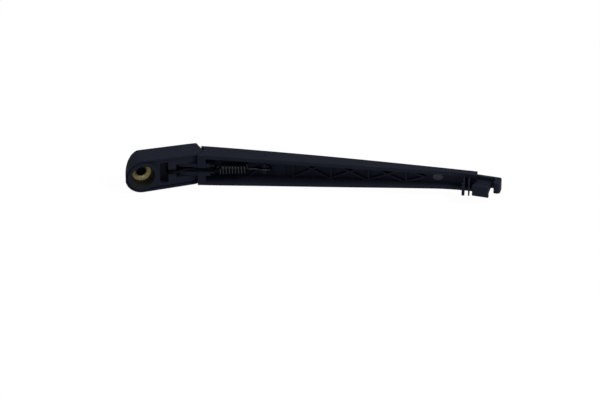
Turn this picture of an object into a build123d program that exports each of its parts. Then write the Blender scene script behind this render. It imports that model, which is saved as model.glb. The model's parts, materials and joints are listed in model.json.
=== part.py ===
from build123d import *
import os
from math import asin, atan2, cos, degrees, pi, radians, sin, sqrt

# Rear wiper arm, in millimetres.
# X runs along the head towards the tip, Y along the spindle away from the window, Z across the arm.
# The origin is on the spindle axis, at the mouth of the spindle bore.

# Head and spindle seat
ring_r = 12.35
ring_proud = 6.3
ring_wall = 3.05
web_face = -4.7
seat_top = 3.6
ring_top = 1.0
nut_well_top = 4.0
nut_well_r = 8.4
boss_r = 9.4
bush_r = 7.6
bore_r = 3.7
head_half_start = 12.3
head_half_end = 11.2

# Pivot between head and arm
pivot_x = 39.3
pivot_y = 4.0
pin_r = 2.0
pin_fit = 0.05
pin_lead = 0.3
nose_r = 10.0
nose_gap = 0.6
heel_r = 9.2
heel_y = 1.6
cheek_inner = 5.8
cheek_back = 4.4
ear_outer = 5.4
ear_inner = 2.3
ear_hub_r = 4.2
ear_back = 8.2
ear_front = -9.4
neck_top = 1.0
block_start = 6.5
slot_floor = 2.0
guide_end = 19.4
guide_t = 1.5
guide_front = -8.0
fold_deg = 18.6

# Core pocket and hook bar of the head
pocket_start = 13.4
pocket_end = 19.9
pocket_half = 9.2
pocket_corner = 1.2
pocket_roof = 1.5
web_end = 26.2
notch_half = 2.1
hook_arm = 16.0
hook_bearing_deg = 18.0
bar_r = 2.8
notch_r = 5.5

# Cover shell
cover_wall = 1.3
cover_back = 11.9
cover_edge_r = 2.4
cover_crown_r = 21.0
cover_dip_x = 26.0
cover_dip_deg = 5.5
cover_end_x = 47.0
cover_end_lean = 14.5
cover_gap = 0.3
ring_gap = 0.55
side_gap = 0.7

# Arm channel: distances along the arm from the pivot, offsets from the pivot axis
arm_end = 221.3
rim_y = -10.2
rim_bend_x = 186.0
rim_tip_y = -13.3
back_y = [(0.0, 4.5), (54.0, 3.5), (107.0, 1.2), (176.0, -2.8), (197.0, -4.4), (arm_end, -6.8)]
half_w = [(0.0, 13.7), (15.0, 13.4), (54.0, 12.2), (107.0, 10.7), (176.0, 8.5), (arm_end, 7.6)]
wall = 3.0
floor_t = 1.7
end_wall = 1.6
block_end = 12.7
back_edge_r = 1.3

# Ribs, pad and mould mark on the channel floor
rib_w = 1.4
rib_h = 2.6
rib_first = 79.6
rib_bay = 29.0
rib_bays = 4
last_bay_share = 0.5
pad_start = 64.6
pad_end = 73.5
pad_h = 0.9
mark_x = 191.0
mark_r = 3.9
mark_h = 0.3

# Spring, link and anchor post
anchor_x = 57.5
anchor_y = -3.3
post_r = 1.6
post_half = 4.6
gusset_t = 1.5
gusset_len = 9.0
strut_x = 53.4
strut_w = 1.3
strut_gap = 1.5
strut_lean = 44.0
strut_front = -1.8
link_r = 1.1
hook_fit = 0.15
link_len = 35.5
eye_r = 2.0
eye_wire_r = 0.8
hook_open_deg = 60.0
hook_steps = 14
ramp_steps = 8
ramp_len = 14.0
rod_sides = 12
wire_r = 0.62
wire_sides = 8
wire_steps = 16
coil_r = 4.1
coil_pitch = 2.34
coil_turns = 9
coil_start = 1.2
post_fit = 0.3
end_slack = 2.6

# Blade seat at the tip, in a frame tilted towards the window
tip_half = 4.6
tip_tilt = 11.0
tip_y = -7.0
tongue_len = 19.4
tongue_t = 2.4
lug_start = -0.6
lug_len = 12.8
lug_half = 4.6
lug_drop = 17.0
lug_edge_r = 0.9
lug_wall = 2.5
lug_web = 2.6
lip_t = 5.0
lip_drop = 9.0
hook_outer_r = 2.3
hook_inner_r = 0.8
fin_x = [211.4, 215.2]
fin_t = 1.2
fin_half = 5.2
fin_front = -22.6
barb_len = 1.8
barb_out = 1.1

fold = radians(fold_deg)
arm_x_dir = (cos(fold), -sin(fold), 0)
arm_y_dir = (sin(fold), cos(fold), 0)
arm_side = Plane((pivot_x, pivot_y, 0), x_dir=arm_x_dir, z_dir=(0, 0, 1))

ring_bore_r = ring_r - ring_wall
cover_r = ring_r + ring_gap + cover_wall
cover_half_end = head_half_end + side_gap + cover_wall
lip_at = tongue_len - lip_t
tip_origin = arm_side.from_local_coords((arm_end, tip_y, 0))
tip_turn = fold + radians(tip_tilt)
tip_side = Plane(tip_origin, x_dir=(cos(tip_turn), -sin(tip_turn), 0), z_dir=(0, 0, 1))

# The hook bar lies behind the pivot, and the link runs from it to the anchor post.
hook_bearing = radians(hook_bearing_deg)
hook_x = pivot_x - hook_arm * cos(hook_bearing)
hook_y = pivot_y - hook_arm * sin(hook_bearing)
post_row_x = pivot_x + anchor_x * arm_x_dir[0] + anchor_y * arm_y_dir[0]
post_row_y = pivot_y + anchor_x * arm_x_dir[1] + anchor_y * arm_y_dir[1]
line_len = sqrt((post_row_x - hook_x) ** 2 + (post_row_y - hook_y) ** 2)
line_dir = ((post_row_x - hook_x) / line_len, (post_row_y - hook_y) / line_len, 0)
link_side = Plane((hook_x, hook_y, 0), x_dir=line_dir, z_dir=(0, 0, 1))


def level(y):
    """Plane across the spindle at height y; extrusion runs towards the window."""
    return Plane((0, y, 0), x_dir=(1, 0, 0), z_dir=(0, -1, 0))


def arm_level(y):
    """Plane along the arm at offset y from the pivot axis; extrusion runs towards the window."""
    origin = (pivot_x + y * arm_y_dir[0], pivot_y + y * arm_y_dir[1], 0)
    return Plane(origin, x_dir=arm_x_dir, z_dir=(-arm_y_dir[0], -arm_y_dir[1], 0))


def along(table, x):
    """Value at x on a table of (x, value) pairs, by straight interpolation."""
    for (x0, v0), (x1, v1) in zip(table, table[1:]):
        if x <= x1:
            return v0 + (v1 - v0) * (x - x0) / (x1 - x0)
    return table[-1][1]


cover_base = pivot_y - nose_r


def cover_form(inset, drop):
    """Rounded block of the cover, drawn in by inset; drop carries it on past the open rim."""
    back = cover_back - inset
    with BuildPart() as form:
        with BuildSketch(level(back)):
            Circle(cover_r - inset)
            with Locations((pivot_x + 2 * nose_r, 0)):
                Rectangle(0.1, 2 * (cover_half_end - inset))
            make_hull()
        extrude(amount=back - cover_base + drop)
        top = form.faces().sort_by(Axis.Y)[-1]
        fillet(top.edges().sort_by(Axis.X)[:-1], cover_edge_r - inset)
        with BuildSketch(Plane.XY):
            crown = cover_crown_r - inset
            end_x = inset - cover_r
            with Locations((end_x, back - crown)):
                Rectangle(crown, 2 * crown, align=Align.MIN)
            with Locations((end_x + crown, back - crown)):
                Circle(crown, mode=Mode.SUBTRACT)
            with Locations((cover_dip_x, back)):
                Rectangle(8 * nose_r, nose_r, rotation=-cover_dip_deg, align=Align.MIN)
        extrude(amount=2 * cover_r, both=True, mode=Mode.SUBTRACT)
    return form.part


os.makedirs("parts", exist_ok=True)

# Head: the boss ring under the cover's crown, then web and cheeks, the wells and the link notch
with BuildPart() as boss:
    with BuildSketch(level(ring_top)):
        Circle(ring_r)
    extrude(amount=ring_top + ring_proud)
    with BuildSketch(level(nut_well_top)):
        Circle(boss_r)
    extrude(amount=nut_well_top)
    add(cover_form(cover_wall + cover_gap, nose_r), mode=Mode.INTERSECT)

with BuildPart() as head_body:
    with BuildSketch(Plane.XY):
        with BuildLine():
            cheek_r = pivot_y - web_face
            nose = CenterArc((pivot_x, pivot_y), cheek_r, -90, 90 + degrees(asin(cheek_back / cheek_r)))
            Polyline(
                nose @ 1,
                (web_end, pivot_y + cheek_back),
                (pocket_end, seat_top),
                (0, seat_top),
                (0, web_face),
                nose @ 0,
            )
        make_face()
    extrude(amount=2 * ring_r, both=True)
    with BuildSketch(level(2 * ring_r)):
        Polygon(
            (-1, -head_half_start),
            (pivot_x + nose_r, -head_half_end),
            (pivot_x + nose_r, head_half_end),
            (-1, head_half_start),
            align=None,
        )
    extrude(amount=4 * ring_r, mode=Mode.INTERSECT)
    add(cover_form(cover_wall + cover_gap, nose_r), mode=Mode.INTERSECT)
    with BuildSketch(level(3 * ring_r)):
        with Locations((web_end, 0)):
            Rectangle(4 * ring_r, 2 * cheek_inner, align=(Align.MIN, Align.CENTER))
    extrude(amount=6 * ring_r, mode=Mode.SUBTRACT)
    add(boss.part)
    with BuildSketch(level(nut_well_top)):
        Circle(nut_well_r)
    extrude(amount=nut_well_top - seat_top, mode=Mode.SUBTRACT)
    with BuildSketch(level(0)):
        Circle(ring_bore_r)
    extrude(amount=ring_proud, mode=Mode.SUBTRACT)
    with BuildSketch(level(seat_top)):
        Circle(bush_r)
    extrude(amount=seat_top, mode=Mode.SUBTRACT)
    with BuildSketch(level(seat_top - pocket_roof)):
        with Locations(((pocket_start + pocket_end) / 2, 0)):
            RectangleRounded(pocket_end - pocket_start, 2 * pocket_half, pocket_corner)
    extrude(amount=2 * ring_r, mode=Mode.SUBTRACT)
    with BuildSketch(Plane((hook_x, hook_y, 0))):
        Circle(notch_r)
        with Locations((0, -ring_r / 2)):
            Rectangle(2 * notch_r, ring_r)
        Circle(bar_r, mode=Mode.SUBTRACT)
    extrude(amount=notch_half, both=True, mode=Mode.SUBTRACT)
    with BuildSketch(Plane((pivot_x, pivot_y, 0))):
        Circle(pin_r)
    extrude(amount=2 * ring_r, both=True, mode=Mode.SUBTRACT)

# Brass bush in the boss
with BuildPart() as spindle_bush:
    with BuildSketch(level(seat_top)):
        Circle(bush_r)
        Circle(bore_r, mode=Mode.SUBTRACT)
    extrude(amount=seat_top)

# Cover shell over the head
with BuildPart() as head_cover:
    add(cover_form(0, 0))
    with BuildSketch(Plane.XY):
        with Locations((pivot_x, pivot_y)):
            Rectangle(4 * nose_r, 6 * nose_r, align=(Align.MIN, Align.CENTER))
            Circle(nose_r, mode=Mode.SUBTRACT)
        with Locations((cover_end_x, pivot_y)):
            Rectangle(4 * nose_r, 6 * nose_r, rotation=cover_end_lean, align=(Align.MIN, Align.CENTER))
    extrude(amount=2 * cover_r, both=True, mode=Mode.SUBTRACT)
    add(cover_form(cover_wall, nose_r), mode=Mode.SUBTRACT)

# Two pivot stubs
with BuildPart() as pivot_pin_upper:
    with BuildSketch(Plane((pivot_x, pivot_y, ear_inner))):
        Circle(pin_r)
    extrude(amount=head_half_end - ear_inner)
    chamfer(pivot_pin_upper.edges().filter_by(GeomType.CIRCLE), pin_lead)
with BuildPart() as pivot_pin_lower:
    mirror(pivot_pin_upper.part, about=Plane.XY)

# Arm channel
floor_y = [(x, y - floor_t) for x, y in back_y]
rib_top_y = [(x, y - rib_h) for x, y in floor_y]


def side_band(upper, lower_y):
    """Side view of the arm below a curve, down to a level: a sketch on the arm's own side plane."""
    with BuildSketch(arm_side) as band:
        with BuildLine():
            top = Spline(upper)
            Polyline(top @ 1, (upper[-1][0], lower_y), (upper[0][0], lower_y), top @ 0)
        make_face()
    return band.sketch


def plan_band(inset, start, end):
    """Plan view of the arm drawn in by inset, between two stations along it."""
    upper = [(x, half - inset) for x, half in half_w]
    with BuildSketch(arm_level(3 * ring_r)) as band:
        with BuildLine():
            edge = Spline(upper)
            other = Spline([(x, -half) for x, half in upper])
            Line(edge @ 0, other @ 0)
            Line(edge @ 1, other @ 1)
        make_face()
        Rectangle(start, 8 * ring_r, align=(Align.MIN, Align.CENTER), mode=Mode.SUBTRACT)
        with Locations((end, 0)):
            Rectangle(ring_r * 8, 8 * ring_r, align=(Align.MIN, Align.CENTER), mode=Mode.SUBTRACT)
    return band.sketch


with BuildPart() as channel_hollow:
    extrude(side_band(floor_y, -4 * ring_r), amount=2 * ring_r, both=True)
    extrude(plan_band(wall, block_end, arm_end - end_wall), amount=9 * ring_r, mode=Mode.INTERSECT)

with BuildPart() as floor_ribs:
    with BuildSketch(arm_level(3 * ring_r)):
        for bay in range(rib_bays):
            start = rib_first + bay * rib_bay
            with Locations((start, 0)):
                Rectangle(rib_w, 2 * ring_r)
            half = along(half_w, start + rib_bay / 2) - wall
            with Locations((start + rib_bay / 2, 0)):
                Rectangle(2 * ring_r + rib_bay, rib_w, rotation=degrees(atan2(2 * half, rib_bay)))
                Rectangle(2 * ring_r + rib_bay, rib_w, rotation=-degrees(atan2(2 * half, rib_bay)))
    extrude(amount=6 * ring_r)
    extrude(side_band(floor_y, -4 * ring_r), amount=2 * ring_r, both=True, mode=Mode.INTERSECT)
    extrude(side_band(rib_top_y, -4 * ring_r), amount=2 * ring_r, both=True, mode=Mode.SUBTRACT)
    extrude(
        plan_band(wall / 2, rib_first - rib_w, rib_first + (rib_bays - last_bay_share) * rib_bay),
        amount=9 * ring_r,
        mode=Mode.INTERSECT,
    )

with BuildPart() as lug:
    with BuildSketch(tip_side):
        with Locations((lug_start, -lug_drop)):
            Rectangle(lug_len, lug_drop, align=Align.MIN)
    extrude(amount=lug_half, both=True)
    fillet(lug.faces().sort_by(Axis(tip_origin, tip_side.y_dir))[0].edges(), lug_edge_r)
    for base in (lug_web / 2, -lug_half):
        with BuildSketch(tip_side.offset(base)):
            with Locations((lug_start, lug_wall - lug_drop)):
                Rectangle(lug_len, lug_drop - lug_wall - tongue_t, align=Align.MIN)
        extrude(amount=lug_half - lug_web / 2, mode=Mode.SUBTRACT)

with BuildPart() as arm:
    with BuildSketch(arm_side):
        with BuildLine():
            back = Spline(back_y)
            rim = Spline(
                (rim_bend_x, rim_y),
                (arm_end, rim_tip_y),
                tangents=[(1, 0), (cos(radians(tip_tilt)), -sin(radians(tip_tilt)))],
            )
            Line(back @ 1, rim @ 1)
            Polyline(rim @ 0, (0, rim_y), back @ 0)
        make_face()
    extrude(amount=2 * ring_r, both=True)
    extrude(plan_band(0, 0.1, arm_end), amount=9 * ring_r, mode=Mode.INTERSECT)
    long_edges = arm.edges().filter_by(lambda e: e.length > 0.9 * arm_end)
    long_edges = long_edges.sort_by(lambda e: e.center().X * arm_y_dir[0] + e.center().Y * arm_y_dir[1])
    fillet(long_edges[-2:], back_edge_r)

    add(channel_hollow.part, mode=Mode.SUBTRACT)
    with BuildSketch(arm_side):
        Circle(nose_r + nose_gap)
        with Locations((0, heel_y)):
            Rectangle(4 * nose_r, 2 * nose_r, align=(Align.CENTER, Align.MIN), mode=Mode.SUBTRACT)
        Circle(heel_r)
        with Locations((0, 2 * rim_y)):
            Rectangle(block_start, -2 * rim_y, align=Align.MIN)
    extrude(amount=2 * ring_r, both=True, mode=Mode.SUBTRACT)
    with BuildSketch(arm_side):
        with Locations((0, 2 * rim_y)):
            Rectangle(block_end + wall, slot_floor - 2 * rim_y, align=(Align.MIN, Align.MIN))
    extrude(amount=ear_inner, both=True, mode=Mode.SUBTRACT)
    for base in (ear_inner, -ear_outer):
        with BuildSketch(arm_side.offset(base)):
            Circle(ear_hub_r)
            Polygon(
                (-ear_back, ear_front),
                (nose_r + 2 * wall, ear_front),
                (nose_r + 2 * wall, neck_top),
                (ear_hub_r / 2, neck_top),
                (0, ear_hub_r),
                (-ear_back, neck_top),
                align=None,
            )
            Circle(pin_r + pin_fit, mode=Mode.SUBTRACT)
        extrude(amount=ear_outer - ear_inner)
    for base in (ear_inner, -ear_inner - guide_t):
        with BuildSketch(arm_side.offset(base)):
            with Locations((block_end - wall, guide_front)):
                Rectangle(guide_end - block_end + wall, slot_floor + floor_t - guide_front, align=Align.MIN)
        extrude(amount=guide_t)
    add(floor_ribs.part)
    pad_mid = (pad_start + pad_end) / 2
    pad_floor = along(floor_y, pad_mid)
    with BuildSketch(arm_level(pad_floor + floor_t / 2)):
        with Locations((pad_mid, 0)):
            Rectangle(pad_end - pad_start, 2 * along(half_w, pad_mid) - wall)
    extrude(amount=floor_t / 2 + pad_h)
    with BuildSketch(arm_level(along(floor_y, mark_x))):
        with Locations((mark_x, 0)):
            Circle(mark_r)
    extrude(amount=mark_h)
    post_floor = along(floor_y, anchor_x) + floor_t / 2
    with BuildSketch(arm_side):
        with Locations((anchor_x, anchor_y)):
            Circle(post_r)
    extrude(amount=post_half, both=True)
    for base in (post_half - gusset_t, -post_half):
        with BuildSketch(arm_side.offset(base)):
            Polygon(
                (anchor_x - post_r, anchor_y),
                (anchor_x - gusset_len, post_floor),
                (anchor_x + post_r + gusset_t, post_floor),
                (anchor_x + post_r, anchor_y),
                align=None,
            )
        extrude(amount=gusset_t)
    for side in (1, -1):
        with BuildSketch(arm_level(post_floor)) as strut:
            with Locations((strut_x, side * strut_gap)):
                run = (along(half_w, strut_x) - strut_gap - wall / 2) / sin(radians(strut_lean))
                Rectangle(run, strut_w, rotation=180 - side * strut_lean, align=(Align.MIN, Align.CENTER))
        extrude(amount=post_floor - strut_front)
    for station in fin_x:
        with BuildSketch(arm_level(along(floor_y, station) + floor_t / 2)):
            with Locations((station, 0)):
                Rectangle(fin_t, 2 * fin_half)
        extrude(amount=along(floor_y, station) + floor_t / 2 - fin_front)
    with BuildSketch(arm_level(fin_front + barb_len)):
        with Locations((fin_x[0] - fin_t / 2, 0)):
            Rectangle(barb_out, 2 * fin_half, align=(Align.MAX, Align.CENTER))
    extrude(amount=barb_len)
    with BuildSketch(tip_side) as hook:
        with Locations((-end_wall - 1, -tongue_t)):
            Rectangle(tongue_len + end_wall + 1, tongue_t, align=Align.MIN)
        with Locations((lip_at, -lip_drop)):
            Rectangle(lip_t, lip_drop, align=Align.MIN)
        fillet(hook.vertices().group_by(Axis.X)[-1], hook_outer_r)
        fillet(hook.vertices().filter_by_position(Axis.X, lip_at - 0.01, lip_at + 0.01), hook_inner_r)
    extrude(amount=tip_half, both=True)
    add(lug.part)

# Spring link: a steel wire hooked round the bar, straight to a ring eye at its end
hook_r = bar_r + hook_fit + link_r


def link_path():
    """Points along the link: the hook round the bar, then an easy ramp on to the spring's axis."""
    points = []
    sweep_deg = 270 - hook_open_deg
    for i in range(hook_steps + 1):
        turn = radians(hook_open_deg + sweep_deg * i / hook_steps)
        points.append((hook_r * cos(turn), hook_r * sin(turn)))
    for i in range(1, ramp_steps + 1):
        share = i / ramp_steps
        points.append((ramp_len * share, -hook_r * (1 + cos(pi * share)) / 2))
    points.append((link_len - 2 * eye_r - eye_wire_r / 2, 0))
    return points


with BuildPart() as spring_link:
    with BuildLine(link_side) as rod:
        Polyline(link_path())
    with BuildSketch(Plane(rod.line @ 0, z_dir=rod.line % 0)):
        RegularPolygon(link_r, rod_sides)
    sweep(path=rod.line, transition=Transition.RIGHT)
    eye_centre = link_side.from_local_coords((link_len - eye_r, 0, 0))
    with BuildSketch(Plane(eye_centre, x_dir=link_side.x_dir, z_dir=link_side.y_dir)):
        with Locations((eye_r, 0)):
            RegularPolygon(eye_wire_r, wire_sides)
    revolve(axis=Axis(eye_centre, link_side.z_dir))

# Tension spring, drawn along its own axis and then laid on the line from hook bar to anchor post
post_at = line_len - link_len - coil_start
catch_r = eye_wire_r + wire_r + post_fit / 2
loop_r = post_r + wire_r + post_fit
step = 2 * pi / wire_steps


def spring_path():
    """Points along the wire: a small hook, the coil that opens from it, a straight leg and the end loop."""
    points = []
    for i in range(wire_steps // 2 + 1):
        points.append((0, -catch_r * cos(i * step), -coil_start - catch_r * sin(i * step)))
    ramp = wire_steps // 4
    for i in range(1, coil_turns * wire_steps + 1):
        radius = catch_r + (coil_r - catch_r) * min(1, i / ramp)
        rise = max(0, i - ramp) / wire_steps * coil_pitch - coil_start * max(0, 1 - i / ramp)
        points.append((-radius * sin(i * step), radius * cos(i * step), rise))
    leg_start = points[-1][2] + coil_pitch / 2
    points.append((0, 0, leg_start))
    points.append((0, 0, post_at - 2 * loop_r))
    points.append((-loop_r, 0, post_at - loop_r / 2))
    for i in range(wire_steps // 2 + 1):
        points.append((-loop_r * cos(i * step), 0, post_at + end_slack + loop_r * sin(i * step)))
    points.append((loop_r, 0, post_at))
    return points


with BuildPart() as spring_straight:
    with BuildLine() as wire:
        Polyline(spring_path())
    with BuildSketch(Plane(wire.line @ 0, z_dir=wire.line % 0)):
        RegularPolygon(wire_r, wire_sides)
    sweep(path=wire.line, transition=Transition.RIGHT)
with BuildPart() as tension_spring:
    spring_base = link_side.from_local_coords((link_len + coil_start, 0, 0))
    add(spring_straight.part.moved(Plane(spring_base, x_dir=link_side.y_dir, z_dir=link_side.x_dir).location))

nodes = {
    "head_body": head_body,
    "spindle_bush": spindle_bush,
    "head_cover": head_cover,
    "pivot_pin_upper": pivot_pin_upper,
    "pivot_pin_lower": pivot_pin_lower,
    "arm": arm,
    "spring_link": spring_link,
    "tension_spring": tension_spring,
}
for label, node in nodes.items():
    node.part.label = label
    print(label, node.part.is_valid, round(node.part.volume), len(node.part.solids()), node.part.bounding_box())
    export_step(node.part, f"parts/{label}.step")
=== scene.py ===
# %% [markdown]
# Rear wiper arm: loading the frame.
# The arm is already modelled as solids: a spindle head, a cover, a long ribbed channel and a sprung
# pivot. Blender adds what solids alone don't show: the grain of moulded plastic, the shine of turned
# brass and smooth round wire. Everything is in metres, in the frame of the solids.

# %% Load the solids
import json
from math import atan2, cos, pi, radians, sin

import bmesh
import bpy
from mathutils import Matrix, Vector


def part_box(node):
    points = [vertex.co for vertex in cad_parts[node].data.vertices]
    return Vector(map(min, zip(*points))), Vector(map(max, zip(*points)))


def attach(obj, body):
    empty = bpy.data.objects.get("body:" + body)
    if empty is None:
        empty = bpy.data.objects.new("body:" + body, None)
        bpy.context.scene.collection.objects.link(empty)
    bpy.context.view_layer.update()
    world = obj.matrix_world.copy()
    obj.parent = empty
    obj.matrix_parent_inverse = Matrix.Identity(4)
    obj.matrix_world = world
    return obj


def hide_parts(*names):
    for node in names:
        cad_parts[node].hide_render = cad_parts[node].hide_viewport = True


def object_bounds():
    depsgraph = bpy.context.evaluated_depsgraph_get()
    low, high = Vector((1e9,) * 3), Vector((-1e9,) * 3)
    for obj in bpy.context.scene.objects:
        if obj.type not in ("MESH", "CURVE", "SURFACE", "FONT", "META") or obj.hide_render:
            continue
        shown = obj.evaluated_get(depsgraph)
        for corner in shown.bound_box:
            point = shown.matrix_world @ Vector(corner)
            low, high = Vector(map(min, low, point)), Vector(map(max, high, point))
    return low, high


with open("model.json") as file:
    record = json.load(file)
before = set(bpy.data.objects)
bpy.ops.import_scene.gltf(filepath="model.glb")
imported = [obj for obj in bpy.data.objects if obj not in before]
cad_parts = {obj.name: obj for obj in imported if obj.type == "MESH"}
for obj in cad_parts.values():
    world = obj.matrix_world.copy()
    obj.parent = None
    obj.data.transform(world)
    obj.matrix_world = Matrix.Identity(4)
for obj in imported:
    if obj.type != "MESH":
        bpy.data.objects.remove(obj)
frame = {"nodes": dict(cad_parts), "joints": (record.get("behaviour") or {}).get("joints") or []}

cad_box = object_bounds()
mm = 0.001

# %% [markdown]
# Materials start from a few small helpers.
# A finish here is a Principled shader whose colour, roughness and relief come from noise, so no surface
# is one flat tone. The noise could be painted as an image, but nodes on Object coordinates need no file
# and stay at the real scale: the coordinates are metres, so a noise scale of 1000 means grains of about a
# millimetre.

# %% Helpers for a finish
def start_finish(name):
    """New material with its node tools: the tree, the shader and the object coordinates."""
    material = bpy.data.materials.new(name)
    material.use_nodes = True
    tree = material.node_tree
    shader = tree.nodes["Principled BSDF"]
    place = tree.nodes.new("ShaderNodeTexCoord").outputs["Object"]
    return material, tree, shader, place


def noise(tree, place, scale, detail):
    """Noise at a scale in grains per metre; returns its factor socket."""
    node = tree.nodes.new("ShaderNodeTexNoise")
    node.inputs["Scale"].default_value = scale
    node.inputs["Detail"].default_value = detail
    tree.links.new(place, node.inputs["Vector"])
    return node.outputs["Fac"]


def spread(tree, factor, low, high):
    """Two tones, mixed by a factor between its usual extremes; returns a colour socket."""
    ramp = tree.nodes.new("ShaderNodeValToRGB")
    first, last = ramp.color_ramp.elements
    first.position, last.position = 0.3, 0.7
    first.color, last.color = (*low, 1), (*high, 1)
    tree.links.new(factor, ramp.inputs["Fac"])
    return ramp.outputs["Color"]


def spread_roughness(tree, shader, factor, middle, swing):
    """Roughness that swings about a middle value with a factor."""
    rough = spread(tree, factor, (middle - swing,) * 3, (middle + swing,) * 3)
    tree.links.new(rough, shader.inputs["Roughness"])


def relief(tree, shader, height, strength, depth, edge_radius):
    """Fine relief on softly rounded edges."""
    soft_edge = tree.nodes.new("ShaderNodeBevel")
    soft_edge.samples = 4
    soft_edge.inputs["Radius"].default_value = edge_radius
    bump = tree.nodes.new("ShaderNodeBump")
    bump.inputs["Strength"].default_value = strength
    bump.inputs["Distance"].default_value = depth
    tree.links.new(height, bump.inputs["Height"])
    tree.links.new(soft_edge.outputs["Normal"], bump.inputs["Normal"])
    tree.links.new(bump.outputs["Normal"], shader.inputs["Normal"])


print("helpers ready")

# %% [markdown]
# Moulded plastic: the arm, the cover and the head.
# The real pieces are injection moulded in a blue-black glass-filled plastic. It is never quite even: the
# tone drifts slowly along the piece and the skin has a fine grain. A slow noise drives the tone and a
# fast one the grain. The skin is nearly matt, and what little it mirrors is blue too.

# %% Moulded plastic
def moulded_plastic(name, dark, light, roughness, sheen):
    material, tree, shader, place = start_finish(name)
    tone = noise(tree, place, 60, 4)
    tree.links.new(spread(tree, tone, dark, light), shader.inputs["Base Color"])
    grain = noise(tree, place, 2600, 2)
    spread_roughness(tree, shader, grain, roughness, 0.06)
    shader.inputs["Specular IOR Level"].default_value = sheen
    shader.inputs["Specular Tint"].default_value = (0.60, 0.70, 1.0, 1)
    relief(tree, shader, grain, 0.12, 0.1 * mm, 0.35 * mm)
    return material


outer_dark, outer_light = (0.0116, 0.0139, 0.0232), (0.0134, 0.0160, 0.0262)
inner_dark, inner_light = (0.0106, 0.0126, 0.0208), (0.0124, 0.0146, 0.0236)
arm_plastic = moulded_plastic("arm_plastic", outer_dark, outer_light, 0.50, 0.025)
cover_plastic = moulded_plastic("cover_plastic", outer_dark, outer_light, 0.48, 0.025)
head_plastic = moulded_plastic("head_plastic", inner_dark, inner_light, 0.55, 0.04)
print("plastics", arm_plastic.name, cover_plastic.name, head_plastic.name)

# %% [markdown]
# The cup's wall carries a painted reflection of the brass.
# The bush sits at the bottom of a cup in the head. The light it throws back would colour the wall round
# it, and here that bounce is painted into the wall's colour as a brass tint. A second piece could carry
# that tint, but the wall is the same plastic. So the head's finish measures the distance from the
# spindle's axis, which is Y, and mixes the painted tint in where that is within the cup.

# %% Painted brass reflection in the cup
# Mixes a painted reflection colour into a finish within a radius of the spindle's axis.
def paint_reflection_within(material, radius, tint):
    tree = material.node_tree
    base = tree.nodes["Principled BSDF"].inputs["Base Color"]
    flat = tree.nodes.new("ShaderNodeVectorMath")
    flat.operation = "MULTIPLY"
    flat.inputs[1].default_value = (1, 0, 1)
    reach = tree.nodes.new("ShaderNodeVectorMath")
    reach.operation = "LENGTH"
    near = tree.nodes.new("ShaderNodeMath")
    near.operation = "LESS_THAN"
    near.inputs[1].default_value = radius
    mix = tree.nodes.new("ShaderNodeMixRGB")
    mix.inputs["Color2"].default_value = (*tint, 1)
    tree.links.new(tree.nodes["Texture Coordinate"].outputs["Object"], flat.inputs[0])
    tree.links.new(flat.outputs["Vector"], reach.inputs[0])
    tree.links.new(reach.outputs["Value"], near.inputs[0])
    tree.links.new(near.outputs["Value"], mix.inputs["Fac"])
    tree.links.new(base.links[0].from_socket, mix.inputs["Color1"])
    tree.links.new(mix.outputs["Color"], base)


cup_r = 9.3 * mm
reflection_over = 0.1 * mm
# The brass-coloured tint is painted reflection: the bush's bounce light painted on the cup wall.
paint_reflection_within(head_plastic, cup_r + reflection_over, (0.0215, 0.0212, 0.0160))
print("tinted", head_plastic.name, "within", round(cup_r / mm, 1), "mm of the spindle")

# %% [markdown]
# Drawn steel: the spring, the link and the pins.
# A metal's colour lives in its reflection, so Metallic is 1 and the base colour is the tint of the
# mirror. The wire is dark, oiled steel with small flecks: one noise for its tone and a finer one for its
# shine.

# %% Drawn steel
def drawn_steel(name, dark, light, roughness):
    material, tree, shader, place = start_finish(name)
    tone = noise(tree, place, 900, 3)
    tree.links.new(spread(tree, tone, dark, light), shader.inputs["Base Color"])
    fleck = noise(tree, place, 5000, 1)
    spread_roughness(tree, shader, fleck, roughness, 0.08)
    shader.inputs["Metallic"].default_value = 1.0
    relief(tree, shader, fleck, 0.06, 0.05 * mm, 0.1 * mm)
    return material


spring_steel = drawn_steel("spring_steel", (0.013, 0.015, 0.019), (0.025, 0.028, 0.034), 0.18)
link_steel = drawn_steel("link_steel", (0.0022, 0.0026, 0.0036), (0.0040, 0.0047, 0.0064), 0.50)
pin_steel = drawn_steel("pin_steel", (0.20, 0.20, 0.21), (0.30, 0.30, 0.31), 0.35)
print("steels", spring_steel.name, link_steel.name, pin_steel.name)

# %% [markdown]
# Turned brass: the spindle bush.
# The lathe leaves fine rings round the axis. A wave texture of type Rings, set to the spindle's axis Y,
# draws them. It takes the sine of 20 times the scaled distance, so the scale follows from the pitch of
# the tool marks.

# %% Turned brass
def turned_brass(name, dark, light, roughness, ring_pitch):
    material, tree, shader, place = start_finish(name)
    tone = noise(tree, place, 400, 3)
    tree.links.new(spread(tree, tone, dark, light), shader.inputs["Base Color"])
    rings = tree.nodes.new("ShaderNodeTexWave")
    rings.wave_type = "RINGS"
    rings.rings_direction = "Y"
    rings.inputs["Scale"].default_value = 2 * pi / (20 * ring_pitch)
    tree.links.new(place, rings.inputs["Vector"])
    spread_roughness(tree, shader, rings.outputs["Fac"], roughness, 0.06)
    shader.inputs["Metallic"].default_value = 1.0
    relief(tree, shader, rings.outputs["Fac"], 0.08, 0.03 * mm, 0.1 * mm)
    return material


brass = turned_brass("bush_brass", (0.108, 0.091, 0.043), (0.162, 0.138, 0.067), 0.42, 0.6 * mm)
print("brass", brass.name)

# %% [markdown]
# The solids keep their shape and get their finish by material slot.
# A finish could be set face by face, but each solid is one moulding or one piece of metal, so one slot is
# enough.

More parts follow.
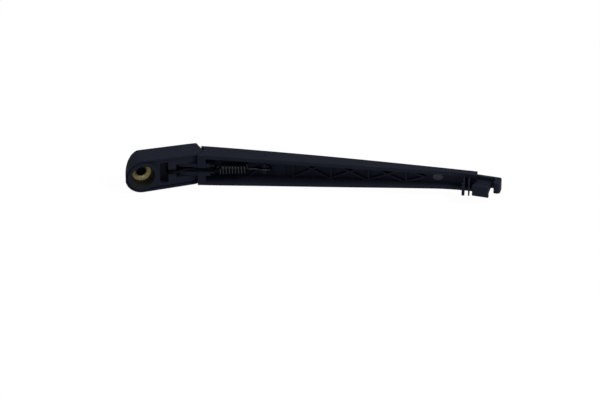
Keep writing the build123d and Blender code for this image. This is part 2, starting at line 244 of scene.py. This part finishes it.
# %% Dress the solids
finishes = {
    "arm": arm_plastic,
    "head_cover": cover_plastic,
    "head_body": head_plastic,
    "spindle_bush": brass,
    "pivot_pin_upper": pin_steel,
    "pivot_pin_lower": pin_steel,
    "spring_link": link_steel,
    "tension_spring": spring_steel,
}
for node_name, finish in finishes.items():
    slots = frame["nodes"][node_name].data.materials
    slots.clear()
    slots.append(finish)
print("dressed", len(finishes), "solids")

# %% [markdown]
# Bent wire, one bend at a time.
# The spring and its link are wire that a machine pushes out and bends round pins. A curve with a bevel
# would give the same tube, but bending step by step reads like the real work: a ring of vertices is
# pushed straight with an extrude, or spun about the pin's axis. A climb along that axis turns a bend into
# a coil.

# %% A wire bender
along_x, along_y, along_z = Vector((1, 0, 0)), Vector((0, 1, 0)), Vector((0, 0, 1))
quarter, half, full = radians(90), radians(180), radians(360)


class BentWire:
    """A round wire that grows from its first end by straight runs and turns."""

    def __init__(self, radius, start, heading, sides=14):
        self.bm = bmesh.new()
        self.place = Vector(start)
        self.heading = Vector(heading).normalized()
        face_on = along_z.rotation_difference(self.heading).to_matrix().to_4x4()
        made = bmesh.ops.create_circle(self.bm, segments=sides, radius=radius)
        bmesh.ops.transform(self.bm, matrix=Matrix.Translation(self.place) @ face_on, verts=made["verts"])
        self.ring = made["verts"] + list(self.bm.edges)

    def run(self, length):
        """Push the wire straight out."""
        edges = [part for part in self.ring if isinstance(part, bmesh.types.BMEdge)]
        made = bmesh.ops.extrude_edge_only(self.bm, edges=edges)["geom"]
        verts = [part for part in made if isinstance(part, bmesh.types.BMVert)]
        rim = [part for part in made if isinstance(part, bmesh.types.BMEdge)]
        rim = [edge for edge in rim if all(vert in verts for vert in edge.verts)]
        bmesh.ops.translate(self.bm, vec=self.heading * length, verts=verts)
        self.place = self.place + self.heading * length
        self.ring = verts + rim

    def turn(self, axis, radius, angle, steps, climb=0.0):
        """Bend the wire round a pin on its left, with the axis pointing at the reader."""
        axis = Vector(axis)
        pin = self.place + radius * axis.cross(self.heading)
        made = bmesh.ops.spin(
            self.bm, geom=self.ring, cent=pin, axis=axis, dvec=axis * climb / steps,
            angle=angle, steps=steps, use_merge=False, use_duplicate=False,
        )
        self.ring = made["geom_last"]
        swing = Matrix.Rotation(angle, 3, axis)
        self.place = pin + swing @ (self.place - pin) + axis * climb
        self.heading = swing @ self.heading

    def sidestep(self, axis, aside, length, steps):
        """Two opposite turns: the wire moves aside over a length and ends on its old heading."""
        angle = 2 * atan2(aside, length)
        radius = length / (2 * sin(angle))
        self.turn(axis, radius, angle, steps)
        self.turn(-Vector(axis), radius, angle, steps)


print("wire bender ready")

# %% [markdown]
# From mesh to piece.
# Every new piece ends the same way: open ends are capped, the faces are turned outwards, and the object
# rides a body, so that it moves with that body's joint. Its place is in its mesh, and the object stays at
# the origin.

# %% A helper that finishes a piece
def finish_piece(bm, name, body, finish):
    """Close, orient and place a mesh as a smooth piece that rides a body."""
    open_edges = [edge for edge in bm.edges if edge.is_boundary]
    bmesh.ops.holes_fill(bm, edges=open_edges, sides=0)
    bmesh.ops.recalc_face_normals(bm, faces=bm.faces)
    mesh = bpy.data.meshes.new(name)
    bm.to_mesh(mesh)
    bm.free()
    mesh.shade_smooth()
    mesh.materials.append(finish)
    piece = bpy.data.objects.new(name, mesh)
    bpy.context.scene.collection.objects.link(piece)
    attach(piece, body)
    print(name, len(mesh.polygons), "faces on", body)
    return piece


def axes_matrix(x_axis, y_axis, z_axis):
    """Turn that takes X, Y and Z on to three given directions."""
    return Matrix((x_axis, y_axis, z_axis)).transposed().to_4x4()


print("piece helper ready")

# %% [markdown]
# The line of pull.
# The link hooks on a bar in the head, and the spring ends on a post in the arm. The straight line between
# the two is where the wire lies, so it is worked out first, from the joints and the fold of the arm.

# %% Line of pull
joints = {joint["name"]: joint for joint in frame["joints"]}
pivot = Vector(joints["arm_pivot"]["pos_m"])
hook_bar = Vector(joints["link_swing"]["pos_m"])
fold = radians(18.6)
post_along = 57.5 * mm
post_depth = 3.3 * mm
arm_along = Vector((cos(fold), -sin(fold), 0))
arm_out = Vector((sin(fold), cos(fold), 0))
post = pivot + post_along * arm_along - post_depth * arm_out
pull = (post - hook_bar).normalized()
pull_side = along_z.cross(pull)
line_length = (post - hook_bar).length
print("line of pull", round(line_length / mm, 2), "mm")

# %% [markdown]
# The link: a dark steel wire.
# Its hook goes round the bar in the head and an easy S takes it on to the line of pull. It is bent with
# its hook bar at the origin and the line along X, and moved to its place at the end.

# %% Link wire
link_r = 1.1 * mm
bar_r = 2.8 * mm
hook_fit = 0.15 * mm
hook_r = bar_r + hook_fit + link_r
hook_open = radians(60)
hook_turn = radians(270) - hook_open
link_length = 35.5 * mm
eye_r = 2.0 * mm
ease_length = 14 * mm
hook_tip = Vector((cos(hook_open), sin(hook_open), 0))
link = BentWire(link_r, hook_r * hook_tip, along_z.cross(hook_tip))
link.turn(along_z, hook_r, hook_turn, 30)
link.sidestep(along_z, hook_r, ease_length, 10)
link.run(link_length - 2 * eye_r - ease_length)
print("link wire", len(link.bm.verts), "points")

# %% [markdown]
# The link's eye.
# A ring at the end carries the spring. A torus is a circle spun about an axis outside it, and a full spin
# with use_merge joins its last ring to its first.

# %% Link eye
eye_wire_r = 0.8 * mm
eye_centre = Vector((link_length - eye_r, 0, 0))
section = bmesh.ops.create_circle(link.bm, segments=14, radius=eye_wire_r)["verts"]
upright = Matrix.Rotation(quarter, 4, "X")
section_place = Matrix.Translation(eye_centre + eye_r * along_x) @ upright
bmesh.ops.transform(link.bm, matrix=section_place, verts=section)
section_edges = list({edge for vert in section for edge in vert.link_edges})
bmesh.ops.spin(
    link.bm, geom=section + section_edges, cent=eye_centre, axis=along_z, angle=full, steps=32,
    use_merge=True, use_duplicate=False,
)
link_place = Matrix.Translation(hook_bar) @ axes_matrix(pull, pull_side, along_z)
bmesh.ops.transform(link.bm, matrix=link_place, verts=link.bm.verts)
link_wire = finish_piece(link.bm, "link_wire", "link", link_steel)
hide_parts("spring_link")

# %% [markdown]
# The tension spring: drawn wire.
# It starts in a small hook in the link's eye, opens into the coil, comes back to the middle in a straight
# leg and ends in a long loop round the post. The long loop lets the arm lift without stretching the drawn
# shape. The wire is bent along Z and then laid on the line of pull.

# %% Spring wire
wire_r = 0.62 * mm
coil_r = 4.1 * mm
coil_pitch = 2.34 * mm
coil_turns = 8.75
coil_start = 1.2 * mm
catch_fit = 0.15 * mm
catch_r = eye_wire_r + wire_r + catch_fit
post_r = 1.6 * mm
post_fit = 0.3 * mm
loop_r = post_r + post_fit + wire_r
end_slack = 2.6 * mm
leg_bend = 0.9 * mm
aside_length = 5.0 * mm
post_at = line_length - link_length - coil_start
spring = BentWire(wire_r, (0, -catch_r, -coil_start), -along_z)
spring.turn(along_x, catch_r, half, 16)
spring.turn(-along_y, coil_start, quarter, 8)
spring.run(coil_r - coil_start - catch_r)
spring.turn(along_z, catch_r, quarter, 8)
spring.turn(along_z, coil_r, coil_turns * full, 280, climb=coil_turns * coil_pitch)
spring.turn(along_z, leg_bend, quarter, 6)
spring.run(coil_r - 2 * leg_bend)
spring.turn(-along_x, leg_bend, quarter, 6)
spring.run(post_at - loop_r / 2 - aside_length - spring.place.z)
spring.sidestep(-along_y, loop_r + spring.place.x, aside_length, 8)
spring.run(post_at + end_slack - spring.place.z)
spring.turn(along_y, loop_r, half, 20)
spring.run(end_slack)
spring_base = hook_bar + (link_length + coil_start) * pull
spring_place = Matrix.Translation(spring_base) @ axes_matrix(pull_side, along_z, pull)
bmesh.ops.transform(spring.bm, matrix=spring_place, verts=spring.bm.verts)
coil_wire = finish_piece(spring.bm, "coil_wire", "link", spring_steel)
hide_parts("tension_spring")

# %% [markdown]
# The brass bush.
# A turned insert, pressed into the boss. Its face is dished towards the bore, which guides the spindle
# in, and its edges are broken so that they catch the light. A lathe part is a profile spun about its
# axis, here the spindle's.

# %% Bush insert
bush_low, bush_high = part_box("spindle_bush")
bush_r = bush_high.x
bore_r = 3.7 * mm
mouth_break = 0.45 * mm
face_dish = 1.1 * mm
rim_break = 0.3 * mm
same_place = 0.001 * mm
profile = [
    (bore_r, bush_high.y),
    (bore_r, bush_low.y + face_dish + mouth_break),
    (bore_r + mouth_break, bush_low.y + face_dish),
    (bush_r - 2 * rim_break, bush_low.y),
    (bush_r - rim_break, bush_low.y),
    (bush_r, bush_low.y + rim_break),
    (bush_r, bush_high.y),
]
bm = bmesh.new()
corners = [bm.verts.new((r, y, 0)) for r, y in profile]
sides = [bm.edges.new(pair) for pair in zip(corners, corners[1:] + corners[:1])]
bmesh.ops.spin(
    bm, geom=corners + sides, cent=(0, 0, 0), axis=along_y, angle=full, steps=72,
    use_merge=True, use_duplicate=False,
)
bmesh.ops.remove_doubles(bm, verts=bm.verts, dist=same_place)
bush_insert = finish_piece(bm, "bush_insert", "head", brass)
bush_insert.data.set_sharp_from_angle(angle=radians(30))
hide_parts("spindle_bush")

# %% [markdown]
# The mould mark on the channel floor.
# Where the plastic flowed in, the mould leaves a pale, slightly dished oval. A painted spot would stay
# flat, so it is a thin disc: one inset raises its middle, and a second one sinks the dish.

# %% Mould mark
mark_along = 191.0 * mm
mark_out = -5.96 * mm
mark_size = (3.9 * mm, 3.1 * mm)
mark_rise = 0.12 * mm
mark_slope = 0.7 * mm
mark_lip = 0.5 * mm
mark_dark, mark_light = (0.020, 0.0195, 0.022), (0.034, 0.032, 0.034)
bm = bmesh.new()
bmesh.ops.create_circle(bm, cap_ends=True, segments=48, radius=1)
bmesh.ops.scale(bm, vec=(*mark_size, 1), verts=bm.verts)
bmesh.ops.inset_region(bm, faces=list(bm.faces), thickness=mark_slope, depth=mark_rise)
dish = max(bm.faces, key=lambda face: len(face.verts))
bmesh.ops.inset_region(bm, faces=[dish], thickness=mark_lip, depth=-mark_rise / 2)
mark_centre = pivot + mark_along * arm_along + mark_out * arm_out
mark_place = Matrix.Translation(mark_centre) @ axes_matrix(arm_along, along_z, -arm_out)
bmesh.ops.transform(bm, matrix=mark_place, verts=bm.verts)
mark_plastic = moulded_plastic("mark_plastic", mark_dark, mark_light, 0.40, 0.3)
finish_piece(bm, "gate_mark", "arm", mark_plastic)

# %% [markdown]
# The floor.
# The arm lies on its side on white paper. Most of what the camera sees of the paper is its own even
# white, mixed with a little lit diffuse, so that the arm keeps a faint shadow. Light Path tells the
# camera's rays apart, and also those that come by way of a mirror or glass. All other rays meet plain
# diffuse paper, so the white shows on the arm only where its skin or metal mirrors it.

# %% Floor
def white_rays(tree):
    """1 for the rays that meet plain white: those from the camera, or by way of a mirror or glass."""
    seen = tree.nodes.new("ShaderNodeLightPath")
    total = seen.outputs["Is Camera Ray"]
    for kind in ("Is Glossy Ray", "Is Transmission Ray"):
        either = tree.nodes.new("ShaderNodeMath")
        either.operation = "MAXIMUM"
        tree.links.new(total, either.inputs[0])
        tree.links.new(seen.outputs[kind], either.inputs[1])
        total = either.outputs[0]
    return total


floor_size = 6.0
floor_gap = 0.5 * mm
floor_level = cad_box[0][2] - floor_gap
bm = bmesh.new()
bmesh.ops.create_grid(bm, x_segments=1, y_segments=1, size=floor_size / 2)
bmesh.ops.translate(bm, vec=floor_level * along_z, verts=bm.verts)
floor_mesh = bpy.data.meshes.new("floor")
bm.to_mesh(floor_mesh)
bm.free()
floor = bpy.data.objects.new("floor", floor_mesh)
bpy.context.scene.collection.objects.link(floor)
print("floor at", round(floor_level / mm, 2), "mm")

# %% [markdown]
# The paper's finish.
# A Mix Shader holds the two looks: the diffuse paper and the even white glow. The glow's share is a
# little under one, and that remainder is where the shadow shows.

# %% Paper
paper_share = 0.93
paper_white = 1.04
paper, tree, shader, place = start_finish("floor_paper")
tone = noise(tree, place, 3, 2)
tree.links.new(spread(tree, tone, (0.90,) * 3, (0.93,) * 3), shader.inputs["Base Color"])
shader.inputs["Roughness"].default_value = 0.9
shader.inputs["Specular IOR Level"].default_value = 0.1
glow = tree.nodes.new("ShaderNodeEmission")
glow.inputs["Strength"].default_value = paper_white
share = tree.nodes.new("ShaderNodeMath")
share.operation = "MULTIPLY"
share.inputs[1].default_value = paper_share
mix = tree.nodes.new("ShaderNodeMixShader")
tree.links.new(white_rays(tree), share.inputs[0])
tree.links.new(share.outputs[0], mix.inputs["Fac"])
tree.links.new(shader.outputs["BSDF"], mix.inputs[1])
tree.links.new(glow.outputs["Emission"], mix.inputs[2])
tree.links.new(mix.outputs["Shader"], tree.nodes["Material Output"].inputs["Surface"])
floor_mesh.materials.append(paper)
print("paper", paper.name)

# %% [markdown]
# The world.
# Past the paper's edge the camera meets the same plain white. For all other rays the world is a dim, even
# sky, which only fills the shade.

# %% World
sky_level = 0.28
world = bpy.data.worlds.new("studio")
bpy.context.scene.world = world
world.use_nodes = True
tree = world.node_tree
sky = tree.nodes["Background"]
white = tree.nodes.new("ShaderNodeBackground")
for background, level in ((sky, sky_level), (white, 1.0)):
    background.inputs["Color"].default_value = (1, 1, 1, 1)
    background.inputs["Strength"].default_value = level
mix = tree.nodes.new("ShaderNodeMixShader")
tree.links.new(white_rays(tree), mix.inputs["Fac"])
tree.links.new(sky.outputs["Background"], mix.inputs[1])
tree.links.new(white.outputs["Background"], mix.inputs[2])
tree.links.new(mix.outputs["Shader"], tree.nodes["World Output"].inputs["Surface"])
print("sky level", sky_level)

# %% [markdown]
# The lamps.
# One broad lamp, high on the right, lights the upper wall and leaves the channel and the head's round end
# in shade. A small, weak one in front on the left lifts that shade and draws fine lights on the wire.

# %% Lamps
def soft_lamp(name, place, target, size, watts):
    lamp = bpy.data.lights.new(name, "AREA")
    lamp.shape = "DISK"
    lamp.size = size
    lamp.energy = watts
    holder = bpy.data.objects.new(name, lamp)
    holder.location = place
    holder.rotation_euler = (target - place).to_track_quat("-Z", "Y").to_euler()
    bpy.context.scene.collection.objects.link(holder)


middle = (Vector(cad_box[0]) + Vector(cad_box[1])) / 2
soft_lamp("key_lamp", middle + Vector((0.6, -0.4, 0.8)), middle, 0.6, 6.9)
soft_lamp("front_lamp", middle + Vector((-0.3, -1.0, 0.5)), middle, 0.2, 1.2)
print("lamps aim at", [round(v / mm, 1) for v in middle])

# %% [markdown]
# The camera.
# The view is worked out from one known point: the centre of the boss ring's face and where it sits in the
# picture. With the size of a pixel at that point, the aim follows by stepping right and up in the picture
# plane. A long lens far away keeps the perspective as weak as the view has it.

# %% Camera
picture_width, picture_height = 600, 400
pixel = 0.766 * mm
distance = 3.0
azimuth = radians(-14.5)
elevation = radians(34.0)
ring_face = Vector((0, -6.3 * mm, 0))
ring_across, ring_down = 143.5, 177.0
right = Vector((cos(azimuth), sin(azimuth), 0))
back = Vector((sin(azimuth) * cos(elevation), -cos(azimuth) * cos(elevation), sin(elevation)))
up = back.cross(right)
aim = ring_face + (picture_width / 2 - ring_across) * pixel * right
aim -= (picture_height / 2 - ring_down) * pixel * up
lens = bpy.data.cameras.new("camera")
lens.sensor_width = 36.0
lens.lens = lens.sensor_width * distance / (picture_width * pixel)
lens.clip_end = 20
camera = bpy.data.objects.new("camera", lens)
camera.matrix_world = Matrix.Translation(aim + distance * back) @ axes_matrix(right, up, back)
bpy.context.scene.collection.objects.link(camera)
bpy.context.scene.camera = camera
bpy.context.scene.view_settings.view_transform = "Standard"
print("lens", round(lens.lens, 1), "mm, aim", [round(v / mm, 1) for v in aim])

# %% [markdown]
# The last cell closes the scene.

# %% Sizes and finish
print("scene done")
